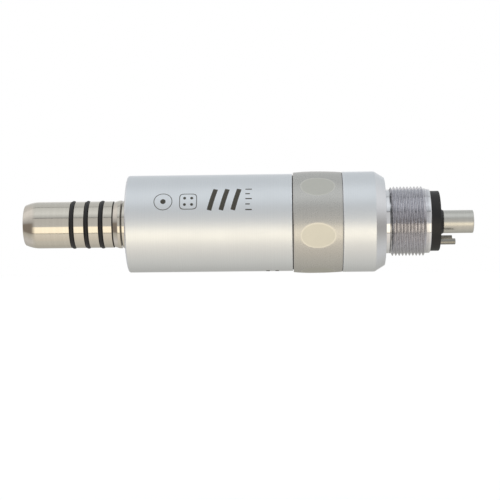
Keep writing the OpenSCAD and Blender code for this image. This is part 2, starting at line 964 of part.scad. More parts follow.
module hose_connector() {
    color(polished_steel)
        difference() {
            union() {
                turned([
                    [connector_front, 0],
                    [connector_front, core_r],
                    [connector_flange_rear, core_r],
                    [connector_flange_rear, neck_r],
                    [thread_front, neck_r],
                    [thread_front + 0.02, thread_root_r],
                    [thread_rear + thread_runout, thread_root_r],
                    [thread_rear + thread_runout + 0.15, neck_r],
                    [face_x - face_chamfer, neck_r],
                    [face_x, neck_r - face_chamfer],
                    [face_x, 0]
                ]);
                thread_ridge();
            }
            translate([0, 0, -exhaust_drop]) {
                rod(connector_front - over, exhaust_seat + over, 2);
                rod(exhaust_seat, face_x + over, exhaust_root_r + fit_gap);
            }
            for (angle = [water_port_angle, air_port_angle]) {
                drilling(connector_front - over, small_tube_seat + over, 0.4, angle, port_circle_r);
                drilling(small_tube_seat, face_x + over, small_tube_root_r + fit_gap, angle, port_circle_r);
            }
            drilling(
                connector_front - over, face_x - drive_port_depth + over, 0.9,
                drive_port_angle, drive_port_circle_r
            );
            drilling(
                face_x - drive_port_depth, face_x + over, drive_port_r,
                drive_port_angle, drive_port_circle_r
            );
        }
}

module exhaust_tube() {
    tip = face_x + exhaust_reach;
    shoulder = boss_rear + 0.05;
    color(polished_steel)
        translate([0, 0, -exhaust_drop])
            turned(concat(
                [
                    [exhaust_seat + 0.05, exhaust_r - exhaust_wall],
                    [exhaust_seat + 0.05, exhaust_root_r],
                    [shoulder, exhaust_root_r],
                    [shoulder, exhaust_r]
                ],
                [
                    for (a = [0:15:75])
                        [tip - tube_edge * (1 - sin(a)), exhaust_r - tube_edge * (1 - cos(a))]
                ],
                [[tip, exhaust_r - exhaust_wall]]
            ));
}

module small_tube(angle) {
    tip = face_x + small_tube_reach;
    edge = 0.12;
    color(polished_steel)
        around(angle, port_circle_r)
            turned([
                [small_tube_seat + 0.05, small_tube_bore_r],
                [small_tube_seat + 0.05, small_tube_root_r],
                [gasket_rear, small_tube_root_r],
                [gasket_rear, small_tube_r],
                [tip - edge, small_tube_r],
                [tip, small_tube_r - edge],
                [tip, small_tube_bore_r]
            ]);
}

module hose_gasket() {
    color(black_rubber)
        difference() {
            union() {
                turned([
                    [face_x, 0],
                    [face_x, gasket_r],
                    [gasket_rear - gasket_edge, gasket_r],
                    [gasket_rear, gasket_r - gasket_edge],
                    [gasket_rear, 0]
                ]);
                translate([0, 0, -exhaust_drop])
                    turned([
                        [gasket_rear - over, 0],
                        [gasket_rear - over, boss_r],
                        [gasket_rear, boss_r],
                        [boss_rear - 0.2, boss_top_r + 0.08],
                        [boss_rear, boss_top_r - 0.06],
                        [boss_rear, 0]
                    ]);
            }
            translate([0, 0, -exhaust_drop])
                rod(face_x - over, boss_rear + over, exhaust_root_r + 0.03);
            for (angle = [water_port_angle, air_port_angle])
                drilling(face_x - over, gasket_rear + over, small_tube_r + 0.04, angle, port_circle_r);
            drilling(
                face_x - over, gasket_rear + over, drive_port_r + 0.1,
                drive_port_angle, drive_port_circle_r
            );
        }
}

// ---------------------------------------------------------------- nodes

nose_spigot();
nose_oring(2);  // nose_oring_front
nose_oring(1);  // nose_oring_middle
nose_oring(0);  // nose_oring_rear
barrel();
barrel_seal(barrel_seal_x[0]);  // barrel_seal_front
barrel_seal(barrel_seal_x[1]);  // barrel_seal_rear
shaft_seal();
front_plate();
cylinder_liner();
rear_plate();
alignment_pins();
bearing_housing();
preload_washer();
outer_race(front_bearing);  // front_outer_race
inner_race(front_bearing);  // front_inner_race
ball_cage(front_bearing);  // front_cage
bearing_balls(front_bearing);  // front_balls
outer_race(rear_bearing);  // rear_outer_race
inner_race(rear_bearing);  // rear_inner_race
ball_cage(rear_bearing);  // rear_cage
bearing_balls(rear_bearing);  // rear_balls
drive_shaft();
rotor();
vane(1);  // vane_1
vane(2);  // vane_2
vane(3);  // vane_3
vane(4);  // vane_4
shaft_circlip();
drive_dog();
dog_spring();
dog_pin();
spray_line(water_angle);  // water_line
spray_line(air_angle);  // air_line
valve_body();
selector_valve();
valve_seal(valve_seal_x[0]);  // valve_seal_front
valve_seal(valve_seal_x[1]);  // valve_seal_rear
valve_circlip();
selector_pin();
regulator_ring();
ring_seal(ring_seal_x[0]);  // ring_seal_front
ring_seal(ring_seal_x[1]);  // ring_seal_rear
rear_cap();
connector_seal();
hose_connector();
exhaust_tube();
small_tube(water_port_angle);  // water_tube
small_tube(air_port_angle);  // chip_air_tube
hose_gasket();
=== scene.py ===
"""The looks of a dental air motor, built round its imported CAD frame.

Outlines are in millimetres: x along the motor's axis, r from it. Angles round the axis are counted
from straight down (-Z) towards +Y. Meshes are made in metres.
"""

import json
import math

import bmesh
import bpy
from mathutils import Matrix, Vector


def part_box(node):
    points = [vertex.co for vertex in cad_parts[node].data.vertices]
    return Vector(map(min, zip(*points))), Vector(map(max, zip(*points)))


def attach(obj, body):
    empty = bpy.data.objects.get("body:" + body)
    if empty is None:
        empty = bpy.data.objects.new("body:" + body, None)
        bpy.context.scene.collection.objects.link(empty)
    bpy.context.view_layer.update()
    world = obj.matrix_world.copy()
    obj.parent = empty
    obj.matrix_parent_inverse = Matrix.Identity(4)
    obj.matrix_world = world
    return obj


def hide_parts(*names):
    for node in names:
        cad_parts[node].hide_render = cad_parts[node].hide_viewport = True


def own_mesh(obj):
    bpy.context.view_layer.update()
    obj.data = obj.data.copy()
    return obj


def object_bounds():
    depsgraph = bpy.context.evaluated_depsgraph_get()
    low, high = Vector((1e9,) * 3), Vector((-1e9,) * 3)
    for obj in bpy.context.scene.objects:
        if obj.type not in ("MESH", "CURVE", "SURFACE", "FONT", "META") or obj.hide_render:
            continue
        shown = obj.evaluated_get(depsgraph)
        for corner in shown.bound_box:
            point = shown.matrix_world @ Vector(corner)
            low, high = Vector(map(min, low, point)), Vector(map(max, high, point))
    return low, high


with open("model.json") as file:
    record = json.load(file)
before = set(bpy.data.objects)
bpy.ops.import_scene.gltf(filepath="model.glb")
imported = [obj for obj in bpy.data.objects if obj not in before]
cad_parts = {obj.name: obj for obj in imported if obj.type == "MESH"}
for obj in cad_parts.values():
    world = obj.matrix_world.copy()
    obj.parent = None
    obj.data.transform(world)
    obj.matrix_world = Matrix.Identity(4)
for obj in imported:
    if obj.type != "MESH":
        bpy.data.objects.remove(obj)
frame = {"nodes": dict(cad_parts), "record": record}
cad_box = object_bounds()

MM = 0.001
SEGMENTS = 192
FINE_SEGMENTS = 480
THREAD_SEGMENTS = 144
ARC_STEPS = 4
SHARP_ANGLE = math.radians(35)
# Points closer than this, in metres, are one point
TOUCHING = 1e-8

record = frame["record"]
mounts = {mount["name"]: mount for mount in record["mounts"]}
slots = {part["node"]: part["material_slot"] for part in record["subparts"]}


# ---------------------------------------------------------------- sizes from the frame

def span(node):
    """First x, last x and largest radius of a CAD node, in mm."""
    low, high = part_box(node)
    return low.x / MM, high.x / MM, max(high.y - low.y, high.z - low.z) / 2 / MM


def centre_of(node):
    """The (y, z) of a CAD node's own axis, in mm."""
    low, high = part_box(node)
    return (low.y + high.y) / 2 / MM, (low.z + high.z) / 2 / MM


def mount_radius(name):
    return mounts[name]["dims"]["r_mm"]


# ---------------------------------------------------------------- outlines

# The largest share of each neighbouring side that a rounded corner may take up
CORNER_SHARE = 0.48
# Support points stand this far from both ends of a stretch, and only longer stretches get them
SUPPORT_MARGIN = 0.03
SUPPORT_FROM = 0.15


def rounded(corners, steps=ARC_STEPS):
    """Turns closed (x, r, corner radius) corners into (x, r) points, with an arc at each rounded corner."""
    points = []
    for i, (x, r, radius) in enumerate(corners):
        here = Vector((x, r))
        if radius <= 0:
            points.append(here)
            continue
        before = Vector(corners[i - 1][:2]) - here
        after = Vector(corners[(i + 1) % len(corners)][:2]) - here
        half = before.angle(after) / 2
        reach = min(radius / math.tan(half), CORNER_SHARE * before.length, CORNER_SHARE * after.length)
        radius = reach * math.tan(half)
        middle = here + (before.normalized() + after.normalized()).normalized() * radius / math.sin(half)
        start = here + before.normalized() * reach - middle
        end = here + after.normalized() * reach - middle
        turn = start.angle_signed(end)
        for step in range(steps + 1):
            arm = start.copy()
            arm.rotate(Matrix.Rotation(-turn * step / steps, 2))
            points.append(middle + arm)
    return [(p.x, p.y) for p in points]


def supported(points, closed=True):
    """Adds a point close to both ends of each long stretch, so that shading stays even along it."""
    filled = []
    for i, here in enumerate(points):
        filled.append(here)
        if i == len(points) - 1 and not closed:
            break
        after = points[(i + 1) % len(points)]
        length = math.dist(here, after)
        if length > SUPPORT_FROM:
            for share in (SUPPORT_MARGIN / length, 1 - SUPPORT_MARGIN / length):
                filled.append(tuple(a + (b - a) * share for a, b in zip(here, after)))
    return filled


# ---------------------------------------------------------------- meshes

def on_axis(x, r, angle, centre=(0, 0)):
    """The point at x, radius and angle, in metres."""
    return Vector((x, centre[0] + r * math.sin(angle), centre[1] - r * math.cos(angle))) * MM


def finish_shading(mesh):
    for polygon in mesh.polygons:
        polygon.use_smooth = True
    mesh.set_sharp_from_angle(angle=SHARP_ANGLE)


def object_from(name, builder):
    """A linked object from a bmesh, closed up and with its faces turned outwards."""
    bmesh.ops.remove_doubles(builder, verts=builder.verts, dist=TOUCHING)
    bmesh.ops.dissolve_degenerate(builder, edges=builder.edges, dist=TOUCHING)
    bmesh.ops.recalc_face_normals(builder, faces=builder.faces)
    mesh = bpy.data.meshes.new(name)
    builder.to_mesh(mesh)
    builder.free()
    finish_shading(mesh)
    made = bpy.data.objects.new(name, mesh)
    bpy.context.scene.collection.objects.link(made)
    return made


def add_face(builder, corners):
    """One face, leaving out corners that lie on each other."""
    kept = [c for i, c in enumerate(corners) if (c.co - corners[i - 1].co).length > TOUCHING]
    if len(kept) > 2:
        builder.faces.new(kept)


def add_strip(builder, first, second):
    """Faces between two rings of the same number of vertices."""
    for i in range(len(first)):
        j = (i + 1) % len(first)
        add_face(builder, [first[i], first[j], second[j], second[i]])


def add_lathe(builder, outline, segments, centre=(0, 0), radius_at=None, closed=True):
    """Turns an outline about its axis and returns its rings of vertices. radius_at(x, r, angle) may
    change the radius on the way round."""
    rings = []
    for x, r in outline:
        ring = []
        for i in range(segments):
            angle = 2 * math.pi * i / segments
            radius = radius_at(x, r, angle) if radius_at else r
            ring.append(builder.verts.new(on_axis(x, radius, angle, centre)))
        rings.append(ring)
    for i in range(len(rings) - (0 if closed else 1)):
        add_strip(builder, rings[i], rings[(i + 1) % len(rings)])
    return rings


def lathe(name, corners, segments=SEGMENTS, centre=(0, 0), radius_at=None):
    """A closed turned body from closed corners."""
    builder = bmesh.new()
    add_lathe(builder, supported(rounded(corners)), segments, centre, radius_at)
    return object_from(name, builder)


def torus(name, x, ring_r, cord_r, sides=28):
    """An O-ring round the axis."""
    turns = [2 * math.pi * i / sides for i in range(sides)]
    outline = [(x + cord_r * math.cos(turn), ring_r + cord_r * math.sin(turn)) for turn in turns]
    builder = bmesh.new()
    add_lathe(builder, outline, SEGMENTS)
    return object_from(name, builder)


def drill(work, start, end, radius, sides=64):
    """Cuts a round hole out of a piece. The two end points are in metres and the radius is in mm."""
    way = end - start
    turn = way.to_track_quat("Z", "Y").to_matrix().to_4x4()
    builder = bmesh.new()
    bmesh.ops.create_cone(
        builder, cap_ends=True, segments=sides, radius1=radius * MM, radius2=radius * MM,
        depth=way.length, matrix=Matrix.Translation((start + end) / 2) @ turn,
    )
    cut_with(work, builder)


def cut_with(work, builder, operation="DIFFERENCE"):
    """Joins or cuts a piece with another closed shape."""
    tool = object_from("tool", builder)
    boolean = work.modifiers.new("cut", "BOOLEAN")
    boolean.operation = operation
    boolean.solver = "EXACT"
    boolean.object = tool
    result = bpy.data.meshes.new_from_object(work.evaluated_get(bpy.context.evaluated_depsgraph_get()))
    work.modifiers.clear()
    work.data = result
    finish_shading(result)
    bpy.data.objects.remove(tool)


def drill_along(work, x0, x1, radius, centre):
    """A hole along X round a (y, z) centre in mm."""
    drill(work, Vector((x0, *centre)) * MM, Vector((x1, *centre)) * MM, radius)


# ---------------------------------------------------------------- material helpers

# The part of a noise's range that it mostly keeps to
NOISE_LOW = 0.3
NOISE_HIGH = 0.7


class Nodes:
    """Builds the nodes of one tree."""

    def __init__(self, tree):
        self.tree = tree

    def new(self, kind, **settings):
        node = self.tree.nodes.new(kind)
        for key, value in settings.items():
            setattr(node, key, value)
        return node

    def feed(self, value, socket):
        """Links an output to a socket, or writes a plain value on it."""
        if isinstance(value, bpy.types.NodeSocket):
            self.tree.links.new(value, socket)
        else:
            socket.default_value = value

    def math(self, operation, a, b=0.0):
        node = self.new("ShaderNodeMath", operation=operation)
        for value, socket in zip((a, b), node.inputs):
            self.feed(value, socket)
        return node.outputs[0]

    def axes(self, vector):
        """The x, y and z of a vector."""
        node = self.new("ShaderNodeSeparateXYZ")
        self.feed(vector, node.inputs[0])
        return node.outputs

    def band(self, value, low, high, to_low=0.0, to_high=1.0, **settings):
        """Takes low to high to the range from to_low to to_high, and holds it there outside."""
        node = self.new("ShaderNodeMapRange", clamp=True, **settings)
        for item, socket in zip((value, low, high, to_low, to_high), node.inputs):
            self.feed(item, socket)
        return node.outputs[0]

    def vary(self, noise, low=0.0, high=1.0):
        """Takes a noise's usual range to low and high."""
        return self.band(noise, NOISE_LOW, NOISE_HIGH, low, high)

    def weigh(self, a, a_share, b, b_share):
        """Weighted sum of two values."""
        return self.math("ADD", self.math("MULTIPLY", a, a_share), self.math("MULTIPLY", b, b_share))

    def largest(self, values):
        """The largest of several values at each point."""
        total = values[0]
        for value in values[1:]:
            total = self.math("MAXIMUM", total, value)
        return total

    def mix(self, share, a, b):
        """Colour a at share 0 and colour b at share 1."""
        node = self.new("ShaderNodeMix", data_type="RGBA")
        self.feed(share, node.inputs[0])
        for value, socket in zip((a, b), (node.inputs[6], node.inputs[7])):
            self.feed(value if isinstance(value, bpy.types.NodeSocket) else (*value, 1.0), socket)
        return node.outputs[2]

    def mix_shaders(self, share, a, b):
        """Shader a at share 0 and shader b at share 1."""
        node = self.new("ShaderNodeMixShader")
        for value, socket in zip((share, a, b), node.inputs):
            self.feed(value, socket)
        return node.outputs[0]


class Graph(Nodes):
    """Builds one material's nodes. Sizes are in mm."""

    def __init__(self, name):
        self.material = bpy.data.materials.new(name)
        self.material.use_nodes = True
        super().__init__(self.material.node_tree)
        self.shader = self.tree.nodes["Principled BSDF"]
        coordinates = self.new("ShaderNodeTexCoord")
        self.place = coordinates.outputs["Object"]
        self.normal = coordinates.outputs["Normal"]

    def x(self):
        return self.axes(self.place)[0]

    def noise(self, size_mm, detail=2.0, stretch=(1, 1, 1)):
        """Noise from 0 to 1 whose features are about size_mm long."""
        mapping = self.new("ShaderNodeMapping")
        self.feed(self.place, mapping.inputs["Vector"])
        self.feed(tuple(s / (size_mm * MM) for s in stretch), mapping.inputs["Scale"])
        node = self.new("ShaderNodeTexNoise")
        self.feed(mapping.outputs[0], node.inputs["Vector"])
        self.feed(1.0, node.inputs["Scale"])
        self.feed(detail, node.inputs["Detail"])
        return node.outputs["Fac"]

    def rings(self, size_mm, detail=3.0):
        """Turning marks: noise that changes only along the axis."""
        node = self.new("ShaderNodeTexNoise", noise_dimensions="1D")
        self.feed(self.math("DIVIDE", self.x(), size_mm * MM), node.inputs["W"])
        self.feed(1.0, node.inputs["Scale"])
        self.feed(detail, node.inputs["Detail"])
        return node.outputs["Fac"]

    def bump(self, height, depth_mm, strength=1.0, normal=None):
        node = self.new("ShaderNodeBump")
        self.feed(height, node.inputs["Height"])
        self.feed(depth_mm * MM, node.inputs["Distance"])
        self.feed(strength, node.inputs["Strength"])
        if normal:
            self.feed(normal, node.inputs["Normal"])
        return node.outputs[0]

    def edge_wear(self, edges_mm, width_mm):
        """1 at the given stations along the axis, broken up by noise, and 0 further than width_mm off."""
        x = self.x()
        off = [self.math("ABSOLUTE", self.math("SUBTRACT", x, edge * MM)) for edge in edges_mm]
        near = self.largest([self.band(value, 0, width_mm * MM, 1, 0) for value in off])
        worn = self.band(self.noise(0.9, 3), 0.35, 0.65)
        return self.math("MULTIPLY", near, worn)

    def between(self, start_mm, end_mm, soft_mm=0.06):
        """1 between two stations along the axis and 0 elsewhere, with soft ends."""
        x = self.x()
        begun = self.band(x, (start_mm - soft_mm) * MM, start_mm * MM)
        return self.math("MULTIPLY", begun, self.band(x, end_mm * MM, (end_mm + soft_mm) * MM, 1, 0))

    def brush(self, amount):
        """Finish lines along the axis: they spread reflections round it more than along it."""
        _, y, z = self.axes(self.place)
        around = self.new("ShaderNodeCombineXYZ")
        self.feed(self.math("MULTIPLY", z, -1.0), around.inputs[1])
        self.feed(y, around.inputs[2])
        self.feed(around.outputs[0], self.shader.inputs["Tangent"])
        self.shader.inputs["Anisotropic"].default_value = amount

    def end_faces(self):
        """1 where the surface faces along the axis, and 0 on its sides."""
        return self.band(self.math("ABSOLUTE", self.axes(self.normal)[0]), 0.8, 0.98)

    def done(self, colour=None, roughness=None, normal=None, metallic=1.0):
        self.shader.inputs["Metallic"].default_value = metallic
        for value, name in ((colour, "Base Color"), (roughness, "Roughness"), (normal, "Normal")):
            if value is not None:
                self.feed(value, self.shader.inputs[name])
        return self.material


def shade(colour, factor):
    """A colour made lighter or darker, with each part kept to 1 at most."""
    return tuple(min(1.0, c * factor) for c in colour)


# ---------------------------------------------------------------- materials

# How far the finish lines stretch a satin surface's reflections
BRUSH = 0.8


def mottled(g, tone, colour, spread):
    """A colour that a noise makes darker and lighter by a small share."""
    return g.mix(g.vary(tone), shade(colour, 1 - spread), shade(colour, 1 + spread))


def satin_roughness(g, grain, cloud, roughness, spread=0.05):
    """A roughness that drifts with a grain and a cloud."""
    drift = g.math("ADD", grain, g.math("MULTIPLY", cloud, 0.6))
    return g.band(drift, 0.45, 1.15, roughness - spread, roughness + spread)


def satin_metal(name, colour, roughness, edges=()):
    """Fine-blasted metal over faint turning marks, duller on its end faces and brighter where its edges
    are rubbed."""
    g = Graph(name)
    grain = g.noise(0.09, 2)
    marks = g.rings(0.16)
    cloud = g.noise(6, 3)
    base = mottled(g, g.weigh(grain, 0.5, marks, 0.5), colour, 0.045)
    base = g.mix(g.vary(cloud, 0, 0.35), base, shade(colour, 0.97))
    rough = satin_roughness(g, grain, cloud, roughness)
    if edges:
        wear = g.edge_wear(edges, 0.35)
        base = g.mix(g.math("MULTIPLY", wear, 0.5), base, shade(colour, 1.14))
        rough = g.math("SUBTRACT", rough, g.math("MULTIPLY", wear, 0.12))
    rough = g.math("ADD", rough, g.math("MULTIPLY", g.end_faces(), 0.3))
    g.brush(BRUSH)
    normal = g.bump(grain, 0.003, 0.6)
    normal = g.bump(marks, 0.003, 0.5, normal)
    return g.done(base, rough, normal)


def turned_metal(name, colour, roughness, line_mm=0.1, depth_mm=0.0025, painted_shade_spans=()):
    """Bright metal with the fine rings that a lathe leaves and soft smears where hands have been. Between
    each pair of stations in painted_shade_spans the colour is darkened: painted shade for the shade in
    grooves and gaps."""
    g = Graph(name)
    fine = g.rings(line_mm, 4)
    coarse = g.rings(line_mm * 7, 2)
    smear = g.noise(3.2, 3, (0.5, 1, 1))
    base = mottled(g, g.weigh(fine, 0.65, coarse, 0.35), colour, 0.06)
    drift = g.math("ADD", smear, g.math("MULTIPLY", fine, 0.5))
    rough = g.band(drift, 0.5, 1.0, roughness - 0.03, roughness + 0.05)
    if painted_shade_spans:
        # Painted shade: the base colour goes nearly black between the stations, where shade falls in
        # grooves and gaps
        painted_shade = g.largest([g.between(start, end) for start, end in painted_shade_spans])
        base = g.mix(painted_shade, base, shade(colour, 0.1))
        rough = g.math("ADD", rough, g.math("MULTIPLY", painted_shade, 0.3))
    normal = g.bump(fine, depth_mm, 0.5)
    return g.done(base, rough, normal)


def thread_metal(name, plain, threaded, front, rear):
    """Bright plated metal that is duller and darker in its threads, with patchy painted shade where they
    start, for the shade in the first turn's groove.
    """
    g = Graph(name)
    x = g.x()
    begun = g.band(x, (front - 0.1) * MM, front * MM)
    zone = g.math("MULTIPLY", begun, g.band(x, rear * MM, (rear + 0.3) * MM, 1, 0))
    fine = g.rings(0.05, 3)
    patches = g.noise(0.7, 3)
    dulled = g.mix(g.band(patches, 0.35, 0.65), shade(threaded, 0.9), shade(threaded, 1.08))
    base = g.mix(zone, plain, dulled)
    base = g.mix(g.vary(fine, 0, 0.3), base, shade(threaded, 0.95))
    cover = g.band(g.noise(2.4, 2), 0.4, 0.6, 0.15, 0.85)
    # Painted shade: patchy near-black colour at the start of the thread, where its first groove lies in
    # shade
    painted_shade = g.math("MULTIPLY", g.between(front - 0.1, front + 0.1, 0.1), cover)
    base = g.mix(painted_shade, base, shade(threaded, 0.12))
    rough = g.math("ADD", g.band(zone, 0, 1, 0.06, 0.15), g.vary(patches, 0, 0.05))
    return g.done(base, rough, g.bump(fine, 0.0006, 0.5))


def ring_metal(name, colour, frost, roughness):
    """Champagne satin, with the dimples frosted lighter and a painted highlight along their rims."""
    g = Graph(name)
    grain = g.noise(0.08, 2)
    marks = g.rings(0.2)
    cloud = g.noise(5, 3)
    base = mottled(g, g.weigh(grain, 0.45, marks, 0.55), colour, 0.05)
    dimple = g.new("ShaderNodeAttribute", attribute_name="dimple").outputs["Fac"]
    base = g.mix(dimple, base, mottled(g, grain, frost, 0.04))
    rough = satin_roughness(g, grain, cloud, roughness)
    rough = g.math("ADD", rough, g.math("MULTIPLY", dimple, 0.03))
    # Painted highlight: the colour is lightened along the dimples' rims
    # Half way between ring and dimple the product of the two shares is a quarter
    rim = g.math("MULTIPLY", g.math("MULTIPLY", dimple, g.math("SUBTRACT", 1.0, dimple)), 4.0)
    base = g.mix(g.math("MULTIPLY", rim, 0.5), base, shade(frost, 1.3))
    g.brush(BRUSH)
    normal = g.bump(grain, 0.004, 0.6)
    normal = g.bump(marks, 0.003, 0.4, normal)
    return g.done(base, rough, normal)


def rubber(name, colour, roughness):
    """Black moulded rubber with a dusty grain."""
    g = Graph(name)
    grain = g.noise(0.12, 3)
    cloud = g.noise(2.5, 3)
    red, green, blue = shade(colour, 1.35)
    dusty = (red * 1.2, green, blue * 0.95)
    base = g.mix(g.vary(cloud), shade(colour, 0.75), dusty)
    rough = g.band(g.math("ADD", grain, cloud), 0.7, 1.3, roughness - 0.08, roughness + 0.1)
    normal = g.bump(grain, 0.006, 0.5)
    g.shader.inputs["Specular IOR Level"].default_value = 0.45
    return g.done(base, rough, normal, metallic=0.0)


def etched(name):
    """Laser-darkened metal: brown-grey, matt, slightly mottled."""
    g = Graph(name)
    mottle = g.noise(0.1, 3)
    lines = g.rings(0.07)
    base = g.mix(g.vary(mottle), (0.075, 0.07, 0.058), (0.12, 0.11, 0.092))
    rough = g.vary(lines, 0.5, 0.68)
    normal = g.bump(mottle, 0.002, 0.5)
    return g.done(base, rough, normal, metallic=0.55)


def composite(name, colour):
    """Woven phenolic of the vanes: layered fibre lines in a brown resin."""
    g = Graph(name)
    weave = g.noise(0.25, 2, (0.25, 1, 1))
    cloth = g.noise(0.12, 2, (1, 0.3, 0.3))
    tone = g.weigh(weave, 0.5, cloth, 0.5)
    base = g.mix(g.band(tone, 0.35, 0.65), shade(colour, 0.7), shade(colour, 1.3))
    rough = g.vary(weave, 0.45, 0.62)
    normal = g.bump(cloth, 0.006, 0.5)
    return g.done(base, rough, normal, metallic=0.0)


# ---------------------------------------------------------------- stations, in mm

barrel_front, barrel_rear, barrel_r = span("barrel")
ring_front, ring_rear, ring_r = span("regulator_ring")
cap_front, cap_rear, cap_r = span("rear_cap")
nose_tip, flange_rear, flange_r = span("nose_spigot")
connector_front, face_x, thread_crest_r = span("hose_connector")
gasket_front, boss_rear, gasket_r = span("hose_gasket")
spigot_r = mount_radius("nose_spigot_pin")
socket_r = mount_radius("drive_socket")
gasket_rear = mounts["gasket_face"]["pos_m"][0] / MM

# Radial room of parts that slip over the valve body
SLIP_GAP = 0.05
core_r = span("connector_seal")[2] + SLIP_GAP
# The connector's plain neck lies this far below the thread's crests
NECK_DROP = 0.56
neck_r = thread_crest_r - NECK_DROP
# Where the thread begins behind the cap, and how long it is
THREAD_OFFSET = 1.05
THREAD_LENGTH = 7.5
thread_front = cap_rear + THREAD_OFFSET
thread_rear = thread_front + THREAD_LENGTH
# Rear face of the front wall of nose and barrel
FRONT_WALL = 1.6
# The nose's retention groove, the collar behind it, and the relief behind that
CATCH_FRONT = -3.2
CATCH_REAR = -1.78
COLLAR_FRONT = -1.48
RELIEF_REAR = -1.1
NOSE_ORINGS = ("nose_oring_front", "nose_oring_middle", "nose_oring_rear")
SMALL_TUBES = {"water_tube": "water_pipe", "chip_air_tube": "chip_air_pipe"}

STEEL_COLOUR = (0.66, 0.61, 0.54)
MACHINED_COLOUR = (0.52, 0.52, 0.53)
# Painted shade in the nose's retention-groove step and in the relief in front of the barrel
groove_painted_shade = ((CATCH_FRONT + 0.01, CATCH_FRONT + 0.22), (COLLAR_FRONT + 0.08, RELIEF_REAR - 0.12))
# Painted shade on the valve body in the gap between the barrel and the selector ring
gap_painted_shade = (barrel_rear - 0.3, ring_front + 0.9)

NOSE_STEEL = turned_metal(
    "nose_steel", STEEL_COLOUR, 0.10, line_mm=0.1, depth_mm=0.0008, painted_shade_spans=groove_painted_shade
)
# The valve body's copy of the machined steel, with painted shade in that gap
GAP_STEEL = turned_metal(
    "gap_steel", MACHINED_COLOUR, 0.3, line_mm=0.2, depth_mm=0.004, painted_shade_spans=[gap_painted_shade]
)
TUBE_STEEL = turned_metal("drawn_tube", (0.60, 0.58, 0.54), 0.3, line_mm=0.16, depth_mm=0.001)
# The small tubes' steel is the drawn tube's colour at half brightness: painted shade
SMALL_TUBE_SHADED_STEEL = turned_metal("small_tube_painted_shade", (0.30, 0.285, 0.26), 0.22, line_mm=0.16, depth_mm=0.001)
THREAD_STEEL = thread_metal(
    "thread_steel", (0.80, 0.79, 0.81), (0.63, 0.62, 0.65), thread_front, thread_rear + 0.15
)
ETCHED = etched("laser_etching")
# One finish for each material slot of the part
FINISHES = {
    "satin_silver": satin_metal(
        "satin_silver", (0.80, 0.812, 0.838), 0.32, [barrel_front, barrel_rear, cap_front]
    ),
    "polished_steel": turned_metal("polished_steel", STEEL_COLOUR, 0.10, line_mm=0.1, depth_mm=0.0008),
    "champagne": ring_metal("champagne", (0.575, 0.555, 0.528), (0.60, 0.58, 0.53), 0.28),
    "black_rubber": rubber("black_rubber", (0.014, 0.014, 0.015), 0.5),
    "machined_steel": turned_metal("machined_steel", MACHINED_COLOUR, 0.3, line_mm=0.2, depth_mm=0.004),
    "bearing_steel": turned_metal(
        "bearing_steel", (0.72, 0.72, 0.73), 0.08, line_mm=0.05, depth_mm=0.001
    ),
    "spring_steel": turned_metal("spring_steel", (0.36, 0.36, 0.37), 0.28, line_mm=0.05),
    "aluminium_parts": satin_metal("aluminium_parts", (0.66, 0.67, 0.68), 0.32),
    "brass_parts": turned_metal("brass_parts", (0.72, 0.55, 0.28), 0.22, line_mm=0.12),
    "vane_composite": composite("vane_composite", (0.2, 0.12, 0.07)),
}

for node, slot in slots.items():
    mesh = frame["nodes"][node].data
    mesh.materials.clear()
    mesh.materials.append(GAP_STEEL if node == "valve_body" else FINISHES[slot])


def place(piece, node, body="housing", material=None):
    """Lets a piece stand for a CAD node: same body, same material slot."""
    piece.data.materials.clear()
    piece.data.materials.append(material or FINISHES[slots[node]])
    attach(piece, body)
    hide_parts(node)


# ---------------------------------------------------------------- nose

def nose_outline():
    """Closed corners of the nose: outside from tip to flange, then back through the bores."""
    tip_edge, tip_round, tip_drop, tip_steps = 0.25, 0.3, 0.88, 4
    taper, taper_drop, taper_steps = 2.7, 0.58, 10
    oring_gap = 0.02
    collar_r = spigot_r + 0.15
    relief_r = spigot_r - 0.4
    catch_r = spigot_r - 0.2
    catch_slope, catch_round = 0.25, 1.9
    pocket_front, pocket_r = 3.0, 4.02
    chamber_front, chamber_r = nose_tip + 5.8, 2.95
    mouth = 0.3

    corners = [(nose_tip, spigot_r - tip_drop, 0)]
    for i in range(1, tip_steps + 1):
        turn = math.radians(90 - 90 * i / tip_steps)
        x = nose_tip + tip_edge * (1 - math.sin(turn))
        corners.append((x, spigot_r - tip_drop + tip_round * math.cos(turn), 0))
    for i in range(1, taper_steps + 1):
        t = i / taper_steps
        corners.append((nose_tip + tip_edge + taper * t, spigot_r - taper_drop * (1 - t) ** 2, 0))
    for node in NOSE_ORINGS:
        low, high, oring_r = span(node)
        floor_r = oring_r - (high - low) - oring_gap
        corners += [
            (low - oring_gap, spigot_r, 0.05), (low - oring_gap, floor_r, 0.04),
            (high + oring_gap, floor_r, 0.04), (high + oring_gap, spigot_r, 0.05),
        ]
    return corners + [
        (CATCH_FRONT, spigot_r, 0.03), (CATCH_FRONT, catch_r, 0.03),
        (CATCH_REAR - catch_slope, collar_r, catch_round),
        (COLLAR_FRONT, collar_r, 0.04), (COLLAR_FRONT, relief_r, 0.05),
        (RELIEF_REAR, relief_r, 0.05), (RELIEF_REAR, collar_r, 0.04),
        (FRONT_WALL, collar_r, 0.05), (FRONT_WALL, flange_r, 0.1),
        (flange_rear, flange_r, 0.1), (flange_rear, pocket_r, 0.1),
        (pocket_front, pocket_r, 0.05), (pocket_front, chamber_r, 0.05),
        (chamber_front, chamber_r, 0.05), (chamber_front, socket_r, 0.03),
        (nose_tip + mouth, socket_r, 0.05), (nose_tip, socket_r + mouth, 0.05),
    ]


